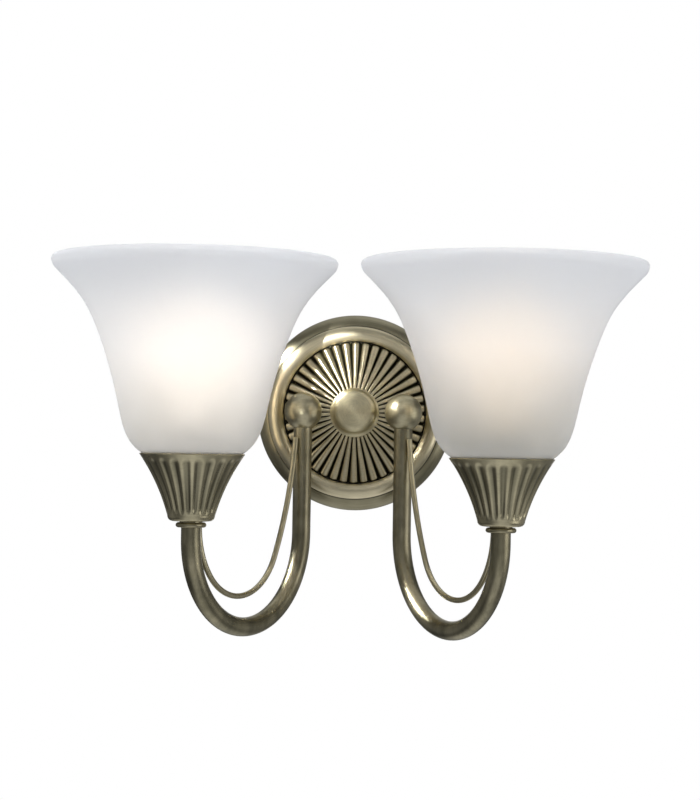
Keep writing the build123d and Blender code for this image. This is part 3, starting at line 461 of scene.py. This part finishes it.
# The pale factors in the calls below give each part a lighter or darker copy of the same brass, set
# to how bright that part shows under these lights: painted light and shade.
coat(plate, brass("antique_brass_plate", turned_marks((0, 0, 0), "Y"), roughness=0.34,
                  brushed=0.7))
coat(boss, brass("antique_brass_boss", turned_marks((0, 0, 0), "Y", pitch=0.0009),
                 roughness=0.42, grain=0.3, pale=1.35, brushed=0.5))
for hand, side in SIDES:
    about_ball = turned_marks((side * BALL_X, BALL_Y, 0), "Z", pitch=0.0016)
    about_leg = turned_marks((side * OUT_X, OUT_Y, 0), "Z")
    dress(brass(f"antique_brass_{hand}_ball", about_ball, roughness=0.36, pale=1.08, patina=0.3),
          f"{hand}_arm_ball", f"{hand}_arm_spacer")
    dress(brass(f"antique_brass_{hand}_arm", plain_marks(), roughness=0.37, pale=0.78, patina=0.55),
          f"{hand}_arm_tube")
    dress(brass(f"antique_brass_{hand}_rod", plain_marks(), roughness=0.32, pale=1.15),
          f"{hand}_scroll_rod")
    cup = turned_piece(f"{hand}_fluted_cup", cup_section, FLUTE_COUNT * 20, on_leg(side), flutes)
    coat(cup, brass(f"antique_brass_{hand}_cup", about_leg, roughness=0.31, pale=1.2, patina=0.30))
    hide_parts(f"{hand}_cup")
    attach(cup, "fixture")
    dress(brass(f"antique_brass_{hand}_collar", about_leg, roughness=0.34, pale=0.8),
          f"{hand}_collar")


# ---------------------------------------------------------------- the other metals
def metal(name, colour, roughness, scale=600):
    s = Shader(name)
    speck = s.noise(s.place(), scale=scale, detail=3)
    s.surface(
        Base_Color=s.mix(s.span(speck, 0.35, 0.65), tuple(c * 0.82 for c in colour), colour),
        Metallic=1.0,
        Roughness=s.span(speck, 0.3, 0.7, roughness - 0.05, roughness + 0.08),
        Normal=s.bump(speck, 0.15, 0.00005),
    )
    return s.material


def plastic(name, colour, roughness, scale=900):
    s = Shader(name)
    speck = s.noise(s.place(), scale=scale, detail=3)
    s.surface(
        Base_Color=s.mix(s.span(speck, 0.35, 0.65), tuple(c * 0.93 for c in colour), colour),
        Roughness=s.span(speck, 0.3, 0.7, roughness - 0.04, roughness + 0.06),
        Normal=s.bump(speck, 0.1, 0.00005),
    )
    return s.material


steel = metal("zinc_plated_steel", (0.62, 0.63, 0.64), 0.34)
dress(steel, "wall_bracket", "bracket_stud", "terminal_screws", "block_screws", "nipple_nuts",
      "nipple_washers", "cup_nuts", *both("arm_nipple"))
dress(metal("plain_brass", (0.80, 0.62, 0.30), 0.3), "earth_washer", "earth_screw",
      *both("holder_terminals", "plungers", "holder_barrel"))
dress(metal("lamp_cap_aluminium", (0.80, 0.80, 0.79), 0.28), *both("lamp_cap", "lamp_contacts"))
dress(metal("tungsten_wire", (0.36, 0.35, 0.34), 0.4), *both("lamp_filament"))
dress(plastic("white_block", (0.80, 0.79, 0.76), 0.4), "terminal_block")
dress(plastic("holder_moulding", (0.24, 0.22, 0.195), 0.36),
      *both("holder_cap", "holder_core", "holder_skirt", "shade_ring"))
dress(plastic("grey_gasket", (0.30, 0.30, 0.30), 0.6), "shade_gaskets")
dress(plastic("lamp_vitrite", (0.03, 0.03, 0.035), 0.2), *both("lamp_insulator"))


# ---------------------------------------------------------------- contact springs
SPRING_X = 4.2                           # on both sides of the holder's axis
SPRING_LOW, SPRING_HIGH = -48.0, -43.5
COIL_R, WIRE_R = 1.8, 0.27
COIL_TURNS = 3.5


def coils(name, place):
    """Two coiled springs, one under each contact plunger."""
    steps, sides = 112, 8
    turn = np.linspace(0, 2 * math.pi * COIL_TURNS, steps)[:, None]
    climb = np.linspace(SPRING_LOW + WIRE_R, SPRING_HIGH - WIRE_R, steps)[:, None]
    around = np.linspace(0, 2 * math.pi, sides, endpoint=False)[None, :]
    r, z = COIL_R + WIRE_R * np.cos(around), climb + WIRE_R * np.sin(around)
    points, faces = [], []
    for middle in (-SPRING_X, SPRING_X):
        first = len(points)
        x, y, height = place(middle + r * np.cos(turn), r * np.sin(turn), z)
        points += (np.stack([x, y, height], -1).reshape(-1, 3) * MM).tolist()
        for i in range(steps - 1):
            low, high = first + i * sides, first + (i + 1) * sides
            for j in range(sides):
                k = (j + 1) % sides
                faces.append((low + j, high + j, high + k, low + k))
        faces.append(tuple(first + j for j in range(sides)))
        faces.append(tuple(first + steps * sides - 1 - j for j in range(sides)))
    mesh = bpy.data.meshes.new(name)
    mesh.from_pydata(points, [], faces)
    mesh.shade_smooth()
    mesh.set_sharp_from_angle(angle=math.radians(60))
    return placed(name, mesh)


for hand, side in SIDES:
    pair = coils(f"{hand}_contact_coils", on_leg(side))
    coat(pair, steel)
    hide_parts(f"{hand}_plunger_springs")
    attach(pair, "fixture")
    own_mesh(pair)


# ---------------------------------------------------------------- glass and lamp
def frosted(name, foot, body, rim):
    """Frosted glass, painted a little darker at the foot as the shade of the cup and holder, and
    bluer at the rim.
    """
    s = Shader(name)
    mist = s.noise(s.place(), scale=2600, detail=3)
    veil = s.noise(s.place(), scale=30, detail=2)
    split = s.node("SeparateXYZ")
    s.put(s.place(), split.inputs[0])
    low = s.span(split.outputs[2], -0.02, 0.035)
    high = s.span(split.outputs[2], 0.05, 0.082)
    tint = s.mix(high, s.mix(low, foot, body), rim)
    s.surface(
        Base_Color=s.mix(s.span(veil, 0.3, 0.7, 0.0, 0.25), tint, (1.0, 1.0, 1.0)),
        Roughness=s.span(mist, 0.3, 0.7, 0.62, 0.72),
        IOR=1.35,
        Transmission_Weight=0.35,
        Subsurface_Weight=1.0,
        Subsurface_Radius=(1.0, 1.0, 1.0),
        Subsurface_Scale=0.006,
        Normal=s.bump(mist, 0.12, 0.00004),
    )
    return s.material


def lit_envelope(name, strength, warm, warmer):
    s = Shader(name)
    veil = s.noise(s.place(), scale=120, detail=2)
    s.surface(
        Base_Color=(0.92, 0.90, 0.86),
        Roughness=0.3,
        Emission_Color=s.mix(s.span(veil, 0.3, 0.7), warmer, warm),
        Emission_Strength=strength,
    )
    return s.material


# The foot tints are painted shade of the cup and holder, and the right bell gets a darker foot and
# body than the left: painted shade.
GLASS_RIM = (0.93, 0.955, 1.0)
dress(frosted("frosted_glass_left", (0.715, 0.705, 0.67), (0.945, 0.945, 0.945), GLASS_RIM),
      "left_shade")
dress(frosted("frosted_glass_right", (0.625, 0.62, 0.58), (0.93, 0.935, 0.94), GLASS_RIM),
      "right_shade")
dress(lit_envelope("lamp_envelope_left", 2.6, (1.0, 0.885, 0.76), (1.0, 0.845, 0.68)),
      "left_lamp_glass")
dress(lit_envelope("lamp_envelope_right", 1.75, (1.0, 0.77, 0.52), (1.0, 0.73, 0.45)),
      "right_lamp_glass")
clear = Shader("clear_glass")
ripple = clear.noise(clear.place(), scale=200)
clear.surface(
    Base_Color=(0.95, 0.97, 0.97),
    Roughness=clear.span(ripple, 0.3, 0.7, 0.02, 0.08),
    IOR=1.5,
    Transmission_Weight=1.0,
)
dress(clear.material, *both("lamp_stem"))


# ---------------------------------------------------------------- studio
def pitched(yaw, pitch, roll):
    """The camera's axes as columns: right, up and backward."""
    level = math.cos(pitch)
    fw = Vector((math.sin(yaw) * level, math.cos(yaw) * level, math.sin(pitch)))
    right = Vector((math.cos(yaw), -math.sin(yaw), 0))
    up = right.cross(fw)
    across = math.cos(roll) * right + math.sin(roll) * up
    upward = -math.sin(roll) * right + math.cos(roll) * up
    return Matrix((across, upward, -fw)).transposed()


CAMERA_AT = (0.0422, -1.177, -0.0173)    # with the angles and the lens, from a fit to the photo
YAW, PITCH, ROLL = -2.22, 1.23, 0.91     # degrees
LENS = 85.23
camera = placed("camera", bpy.data.cameras.new("camera"))
camera.data.sensor_width = 36
camera.data.lens = LENS
camera.data.clip_start, camera.data.clip_end = 0.05, 20
camera.matrix_world = Matrix.Translation(CAMERA_AT) @ pitched(
    math.radians(YAW), math.radians(PITCH), math.radians(ROLL)
).to_4x4()
bpy.context.scene.camera = camera


def lamp(kind, name, place, aim, power, matt=True, shiny=True, **settings):
    """A light; without matt it only shows in what shines, and without shiny it doesn't show there."""
    light = bpy.data.lights.new(name, kind)
    light.energy = power
    for key, value in settings.items():
        setattr(light, key, value)
    made = placed(name, light)
    made.visible_diffuse, made.visible_glossy = matt, shiny
    made.location = place
    made.rotation_mode = "QUATERNION"
    made.rotation_quaternion = (Vector(aim) - Vector(place)).to_track_quat("-Z", "Y")


def accent(name, target, towards, reach, power, away, soft):
    """A narrow light, seen in metal only, on the part of the piece within reach of target."""
    at = Vector(target) + away * Vector(towards).normalized()
    lamp("SPOT", name, at, target, power, matt=False, shadow_soft_size=soft,
         spot_size=2 * math.atan(reach / away), spot_blend=0.85)


KEY = (-0.738, -0.345, 0.566)            # from the highlights on the right ball and on the ring
WARM = (1.0, 0.84, 0.62)
HEART = (0, -0.05, 0)                    # what the wide lights point at
lamp("AREA", "side", (-1.25, -0.50, 0.80), HEART, 6, shiny=False, size=0.40)
lamp("AREA", "top", (0.1, -0.30, 1.3), HEART, 4, shiny=False, size=0.4)
lamp("AREA", "fill", (1.2, -0.60, 0.60), HEART, 2.5, shiny=False, size=0.4)
lamp("AREA", "strip", (1.35, -0.60, 0.0), HEART, 4.6, matt=False, shape="RECTANGLE",
     size=0.9, size_y=1.3)
lamp("AREA", "ring_glow", (-0.074, -0.052, 0.002), (-0.049, -0.017, 0.0), 0.005, matt=False,
     shape="RECTANGLE", size=0.014, size_y=0.07, color=WARM)
# Each accent is aimed so that one bright spot of the photo shows from this camera: target, direction
# of the light, reach, power, distance and softness.
accent("ring_light", (-0.038, -0.016, 0.031), KEY, 0.014, 0.40, 0.05, 0.005)
accent("boss_light", (-0.009, -0.017, 0.010), (-0.60, -0.35, 0.69), 0.010, 0.13, 0.05, 0.006)
accent("ball_light", (BALL_X, BALL_Y, 0.0), KEY, 0.013, 0.55, 0.075, 0.010)
accent("rib_light", (-0.021, -0.014, 0.031), (-0.16, -0.975, -0.14), 0.028, 100, 1.2, 0.006)
accent("left_bend_light", (-0.0362, -0.0437, -0.0955), (-0.766, -0.121, 0.631), 0.009, 0.34,
       0.06, 0.008)
accent("right_bend_light", (0.0390, -0.0569, -0.1136), (-0.799, -0.080, 0.596), 0.010, 0.40,
       0.06, 0.008)

world = bpy.data.worlds.new("studio")
bpy.context.scene.world = world
world.use_nodes = True
tree = world.node_tree
tree.nodes.clear()


def world_node(kind, **settings):
    made = tree.nodes.new("ShaderNode" + kind)
    for key, value in settings.items():
        setattr(made, key, value)
    return made


def ranged(source, low, high, to_low, to_high):
    made = world_node("MapRange", interpolation_type="SMOOTHSTEP")
    tree.links.new(source, made.inputs[0])
    for socket, value in zip(made.inputs[1:5], (low, high, to_low, to_high)):
        socket.default_value = value
    return made.outputs[0]


def background(strength, colour=(1, 1, 1)):
    made = world_node("Background")
    made.inputs[0].default_value = (*colour, 1)
    if isinstance(strength, bpy.types.NodeSocket):
        tree.links.new(strength, made.inputs[1])
    else:
        made.inputs[1].default_value = strength
    return made.outputs[0]


def choose(share, a, b):
    made = world_node("MixShader")
    tree.links.new(share, made.inputs[0])
    tree.links.new(a, made.inputs[1])
    tree.links.new(b, made.inputs[2])
    return made.outputs[0]


def lobe(direction, inner, outer, strength):
    """A soft round panel of the room: full within inner degrees of a direction, gone at outer."""
    dot = world_node("VectorMath", operation="DOT_PRODUCT")
    tree.links.new(ray, dot.inputs[0])
    dot.inputs[1].default_value = Vector(direction).normalized()
    far, near = math.cos(math.radians(outer)), math.cos(math.radians(inner))
    return ranged(dot.outputs["Value"], far, near, 0.0, strength)


# White behind the light, for the camera and for what metal and glass show of it, and a dim room with
# paler panels in front. Matt surfaces get an even level.
ROOM_LEVEL = 0.065                       # what metal and glass show of the dim room
MATT_LEVEL = 0.70
path = world_node("LightPath")
ray = world_node("TexCoord").outputs["Generated"]
level = None
for panel in (                           # direction, full within, gone at, strength
    ((0, 1, 0), 14, 28, 0.90),
    ((0, -1, 0), 8, 30, 0.05),
    ((-0.10, -0.74, 0.66), 12, 42, 0.25),
    ((-0.80, -0.58, 0.10), 12, 34, 0.19),
    ((0.05, -0.72, -0.69), 18, 50, 0.50),
    ((0, 0.35, -0.94), 16, 46, 0.60),
    ((0, 0.38, 0.92), 18, 46, 0.62),
    ((-0.95, 0.25, 0), 12, 40, 0.15),
    ((0.92, 0.36, -0.20), 15, 45, 0.20),
):
    total = world_node("Math", operation="ADD")
    tree.links.new(lobe(*panel), total.inputs[0])
    if level is None:
        total.inputs[1].default_value = ROOM_LEVEL
    else:
        tree.links.new(level, total.inputs[1])
    level = total.outputs[0]
seen = world_node("Math", operation="MAXIMUM")
tree.links.new(path.outputs["Is Glossy Ray"], seen.inputs[0])
tree.links.new(path.outputs["Is Transmission Ray"], seen.inputs[1])
even = background(MATT_LEVEL, (0.96, 0.985, 1.03))
room = background(level, (0.96, 0.98, 1.01))
matt_or_seen = choose(seen.outputs[0], even, room)
out = world_node("OutputWorld")
tree.links.new(choose(path.outputs["Is Camera Ray"], matt_or_seen, background(1.0)), out.inputs[0])

FLOOR_Z = -0.6
FLOOR_CORNERS = ((-3, -3), (3, -3), (3, 1.5), (-3, 1.5))
floor_mesh = bpy.data.meshes.new("floor")
floor_mesh.from_pydata([(x, y, FLOOR_Z) for x, y in FLOOR_CORNERS], [], [(0, 1, 2, 3)])
floor = placed("floor", floor_mesh)
s = Shader("studio_floor")
shade_of_grey = s.mix(s.noise(s.place(), scale=8), (0.80, 0.80, 0.80), (0.84, 0.84, 0.84))
s.surface(Base_Color=shade_of_grey, Roughness=0.7)
floor_mesh.materials.append(s.material)
floor.visible_glossy = False

bpy.context.scene.view_settings.view_transform = "Standard"
